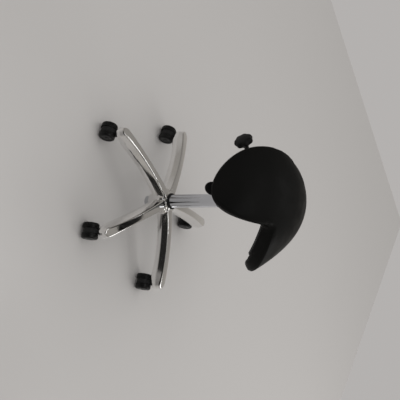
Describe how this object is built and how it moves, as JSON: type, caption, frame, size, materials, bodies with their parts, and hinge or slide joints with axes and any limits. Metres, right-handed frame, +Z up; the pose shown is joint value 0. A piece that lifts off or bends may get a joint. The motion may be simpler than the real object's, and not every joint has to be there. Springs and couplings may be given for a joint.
{
  "type": "pedicure stool",
  "caption": "Height-adjustable saddle stool with a padded tilting seat on a gas column and a polished five-star base with twin-wheel casters.",
  "frame": {"origin": "on the floor under the column axis", "axes": "+Z up along the column; the seat's front faces -Y; the sitter's right side, with the lever and the knob, is -X"},
  "size_m": [0.6609, 0.6778, 0.6814],
  "materials": {
    "polished_aluminium": "polished",
    "chrome": "polished",
    "black_plastic": "satin",
    "black_nylon": "satin",
    "grey_nylon": "matte",
    "bright_steel": "satin",
    "brass": "satin",
    "rubber": "matte",
    "black_steel": "satin",
    "black_vinyl": "satin",
    "shell_plastic": "matte"
  },
  "bodies": {
    "base": {"base_star": "polished_aluminium", "hub_ring": "black_plastic", "column_tube": "chrome", "guide_bushing": "grey_nylon", "caster_stems": "bright_steel", "grip_rings": "bright_steel"},
    "rod": {"piston_rod": "bright_steel", "rod_clip": "bright_steel", "piston": "bright_steel", "bearing_washers": "bright_steel", "bearing_balls": "bright_steel", "bearing_cage": "brass", "bump_buffer": "rubber"},
    "lift": {"pressure_cylinder": "black_steel", "cylinder_seal": "rubber", "valve_body": "brass", "mechanism_housing": "black_steel", "taper_socket": "black_steel", "tilt_pivot_shaft": "bright_steel", "pivot_clips": "bright_steel", "lever_bracket": "black_steel", "lever_pivot_pin": "bright_steel", "spacer_tube": "black_plastic", "clamp_nut": "bright_steel"},
    "pin": {"release_pin": "bright_steel"},
    "lever": {"height_lever": "black_steel", "lever_paddle": "black_plastic"},
    "knob": {"star_knob": "black_plastic", "knob_insert": "brass", "clamp_spindle": "bright_steel"},
    "seat": {"seat_plate": "black_steel", "pivot_bushes": "grey_nylon", "seat_cushion": "black_vinyl", "seat_shell": "shell_plastic", "shell_inserts": "brass", "seat_bolts": "bright_steel", "bolt_washers": "bright_steel"},
    "caster_1": {"caster_housing_1": "black_plastic", "caster_axle_1": "bright_steel"},
    "left_wheel_1": {"wheel_left_1": "black_nylon"},
    "right_wheel_1": {"wheel_right_1": "black_nylon"},
    "caster_2": {"caster_housing_2": "black_plastic", "caster_axle_2": "bright_steel"},
    "left_wheel_2": {"wheel_left_2": "black_nylon"},
    "right_wheel_2": {"wheel_right_2": "black_nylon"},
    "caster_3": {"caster_housing_3": "black_plastic", "caster_axle_3": "bright_steel"},
    "left_wheel_3": {"wheel_left_3": "black_nylon"},
    "right_wheel_3": {"wheel_right_3": "black_nylon"},
    "caster_4": {"caster_housing_4": "black_plastic", "caster_axle_4": "bright_steel"},
    "left_wheel_4": {"wheel_left_4": "black_nylon"},
    "right_wheel_4": {"wheel_right_4": "black_nylon"},
    "caster_5": {"caster_housing_5": "black_plastic", "caster_axle_5": "bright_steel"},
    "left_wheel_5": {"wheel_left_5": "black_nylon"},
    "right_wheel_5": {"wheel_right_5": "black_nylon"}
  },
  "joints": [
    {"name": "seat_swivel", "type": "hinge", "parent": "base", "child": "rod", "pos_m": [0, 0, 0.05], "axis": [0, 0, 1], "continuous": true},
    {"name": "seat_height", "type": "slide", "parent": "rod", "child": "lift", "axis": [0, 0, 1], "range_m": [-0.13, 0.065]},
    {"name": "height_lever_lift", "type": "hinge", "parent": "lift", "child": "lever", "pos_m": [-0.03143, -0.02136, 0.5743], "axis": [-0.5621, 0.8271, 0], "range_deg": [0, 5], "stiffness_Nm_per_rad": 3, "springref_deg": -2.86},
    {"name": "release_pin_press", "type": "slide", "parent": "lift", "child": "pin", "axis": [0, 0, 1], "range_m": [-0.004, 0], "stiffness_N_per_m": 500, "springref_m": 0.002},
    {"name": "clamp_knob_turn", "type": "hinge", "parent": "lift", "child": "knob", "pos_m": [-0.2, 0.087, 0.516], "axis": [-1, 0, 0], "range_deg": [0, 330]},
    {"name": "seat_tilt", "type": "hinge", "parent": "lift", "child": "seat", "pos_m": [0, 0.03, 0.576], "axis": [1, 0, 0], "range_deg": [-4, 6]},
    {"name": "caster_swivel_1", "type": "hinge", "parent": "base", "child": "caster_1", "pos_m": [-0.31469, 0.02256, 0.06], "axis": [0, 0, 1], "continuous": true},
    {"name": "left_wheel_spin_1", "type": "hinge", "parent": "caster_1", "child": "left_wheel_1", "pos_m": [-0.3331, 0.01474, 0.03], "axis": [0.3907, -0.9205, 0], "continuous": true},
    {"name": "right_wheel_spin_1", "type": "hinge", "parent": "caster_1", "child": "right_wheel_1", "pos_m": [-0.3331, 0.01474, 0.03], "axis": [0.3907, -0.9205, 0], "continuous": true},
    {"name": "caster_swivel_2", "type": "hinge", "parent": "base", "child": "caster_2", "pos_m": [-0.1187, -0.29232, 0.06], "axis": [0, 0, 1], "continuous": true},
    {"name": "left_wheel_spin_2", "type": "hinge", "parent": "caster_2", "child": "left_wheel_2", "pos_m": [-0.13508, -0.30379, 0.03], "axis": [0.5736, -0.8192, 0], "continuous": true},
    {"name": "right_wheel_spin_2", "type": "hinge", "parent": "caster_2", "child": "right_wheel_2", "pos_m": [-0.13508, -0.30379, 0.03], "axis": [0.5736, -0.8192, 0], "continuous": true},
    {"name": "caster_swivel_3", "type": "hinge", "parent": "base", "child": "caster_3", "pos_m": [0.24133, -0.20322, 0.06], "axis": [0, 0, 1], "continuous": true},
    {"name": "left_wheel_spin_3", "type": "hinge", "parent": "caster_3", "child": "left_wheel_3", "pos_m": [0.22419, -0.21352, 0.03], "axis": [0.515, -0.8572, 0], "continuous": true},
    {"name": "right_wheel_spin_3", "type": "hinge", "parent": "caster_3", "child": "right_wheel_3", "pos_m": [0.22419, -0.21352, 0.03], "axis": [0.515, -0.8572, 0], "continuous": true},
    {"name": "caster_swivel_4", "type": "hinge", "parent": "base", "child": "caster_4", "pos_m": [0.26785, 0.16672, 0.06], "axis": [0, 0, 1], "continuous": true},
    {"name": "left_wheel_spin_4", "type": "hinge", "parent": "caster_4", "child": "left_wheel_4", "pos_m": [0.25019, 0.15733, 0.03], "axis": [0.4695, -0.8829, 0], "continuous": true},
    {"name": "right_wheel_spin_4", "type": "hinge", "parent": "caster_4", "child": "right_wheel_4", "pos_m": [0.25019, 0.15733, 0.03], "axis": [0.4695, -0.8829, 0], "continuous": true},
    {"name": "caster_swivel_5", "type": "hinge", "parent": "base", "child": "caster_5", "pos_m": [-0.07579, 0.30626, 0.06], "axis": [0, 0, 1], "continuous": true},
    {"name": "left_wheel_spin_5", "type": "hinge", "parent": "caster_5", "child": "left_wheel_5", "pos_m": [-0.09481, 0.30008, 0.03], "axis": [0.309, -0.9511, 0], "continuous": true},
    {"name": "right_wheel_spin_5", "type": "hinge", "parent": "caster_5", "child": "right_wheel_5", "pos_m": [-0.09481, 0.30008, 0.03], "axis": [0.309, -0.9511, 0], "continuous": true}
  ],
  "couplings": [
    {"joint": "release_pin_press", "follows": "height_lever_lift", "m_per_rad": -0.038}
  ]
}
